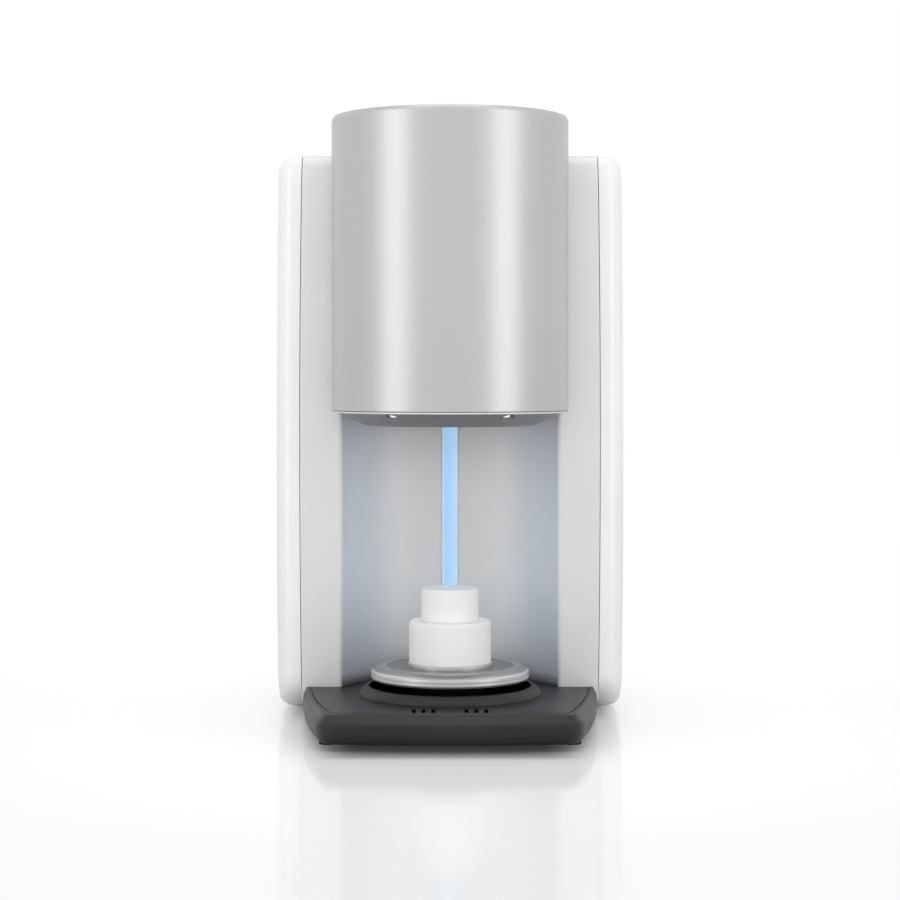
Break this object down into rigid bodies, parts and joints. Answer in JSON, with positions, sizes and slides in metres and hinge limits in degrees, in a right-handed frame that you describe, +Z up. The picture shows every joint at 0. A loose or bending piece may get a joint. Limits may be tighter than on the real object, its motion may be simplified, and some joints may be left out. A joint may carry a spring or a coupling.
{
  "type": "dental lab furnace",
  "caption": "Compact benchtop sintering furnace: a round silver head over a lit niche, with a lift table that carries a crucible up into the heated chamber.",
  "frame": {"origin": "centre of the footprint, on the surface that the feet stand on", "axes": "+Z up, +X to the right of someone facing the niche, front towards -Y"},
  "size_m": [0.3184, 0.372, 0.5234],
  "materials": {
    "satin_silver": "satin silver lacquer",
    "panel_silver": "fine silver-grey lacquer",
    "gloss_white": "glossy white",
    "base_black": "fine-grained black",
    "rubber_foot": "matt",
    "machined_aluminium": "turned, satin",
    "zinc_steel": "zinc plated",
    "white_ceramic": "matt sintered ceramic",
    "silicon_carbide": "matt dark ceramic",
    "copper_tube": "drawn copper",
    "display_glass": "black cover glass",
    "light_diffuser": "frosted, lit blue",
    "lamp_lens": "clear lens",
    "circuit_board": "solder mask",
    "black_plastic": "fine-grained"
  },
  "bodies": {
    "housing": {"base_tray": "base_black", "base_inset": "base_black", "lip_ring": "base_black", "foot_front_left": "rubber_foot", "foot_front_right": "rubber_foot", "foot_rear_left": "rubber_foot", "foot_rear_right": "rubber_foot", "front_panel_left": "panel_silver", "front_panel_right": "panel_silver", "left_shell": "gloss_white", "right_shell": "gloss_white", "top_cover": "panel_silver", "rear_panel": "panel_silver", "chassis": "zinc_steel", "electronics_shelf": "zinc_steel", "head_shell": "satin_silver", "head_cap": "satin_silver", "display_glass": "display_glass", "display_board": "circuit_board", "head_underside": "satin_silver", "lamp_left": "lamp_lens", "lamp_right": "lamp_lens", "head_deck": "zinc_steel", "mouth_insulation": "white_ceramic", "susceptor_tube": "silicon_carbide", "insulation_sleeve": "white_ceramic", "insulation_lid": "white_ceramic", "induction_coil": "copper_tube", "shield_can": "machined_aluminium", "pyrometer": "machined_aluminium", "guide_rail_left": "zinc_steel", "guide_rail_right": "zinc_steel", "lift_backplate": "zinc_steel", "lift_motor": "black_plastic", "screw_bearing": "machined_aluminium", "light_channel": "machined_aluminium", "light_board": "circuit_board", "light_diffuser": "light_diffuser", "fan_frame": "black_plastic", "power_inlet": "black_plastic", "network_port": "zinc_steel", "power_supply": "zinc_steel", "inverter_heatsink": "machined_aluminium", "capacitor_bank": "black_plastic", "control_board": "circuit_board"},
    "lift": {"firing_table": "machined_aluminium", "plug_seat": "machined_aluminium", "insulation_plug": "white_ceramic", "firing_tray": "white_ceramic", "lift_arm": "zinc_steel", "lift_carriage": "machined_aluminium", "screw_nut": "machined_aluminium", "carriage_block_left": "machined_aluminium", "carriage_block_right": "machined_aluminium"},
    "cover": {"crucible_cover": "white_ceramic"},
    "screw": {"lead_screw": "machined_aluminium", "screw_coupling": "machined_aluminium"},
    "fan": {"fan_rotor": "black_plastic"},
    "rocker": {"mains_rocker": "black_plastic"},
    "fuse": {"fuse_drawer": "black_plastic"}
  },
  "joints": [
    {"name": "lift_slide", "type": "slide", "parent": "housing", "child": "lift", "axis": [0, 0, 1], "range_m": [0, 0.2051]},
    {"name": "cover_lift", "type": "slide", "parent": "lift", "child": "cover", "axis": [0, 0, 1], "range_m": [0, 0.012]},
    {"name": "screw_spin", "type": "hinge", "parent": "housing", "child": "screw", "pos_m": [0.074, 0.069, 0.15], "axis": [0, 0, 1], "range_deg": [0, 3692]},
    {"name": "fan_spin", "type": "hinge", "parent": "housing", "child": "fan", "pos_m": [0.052, 0.1715, 0.3877], "axis": [0, 1, 0], "continuous": true},
    {"name": "rocker_tilt", "type": "hinge", "parent": "housing", "child": "rocker", "pos_m": [-0.082, 0.18, 0.1148], "axis": [-1, 0, 0], "range_deg": [0, 9]},
    {"name": "fuse_slide", "type": "slide", "parent": "housing", "child": "fuse", "axis": [0, 1, 0], "range_m": [0, 0.016]}
  ],
  "couplings": [
    {"joint": "screw_spin", "follows": "lift_slide", "rad_per_m": 314.16}
  ]
}
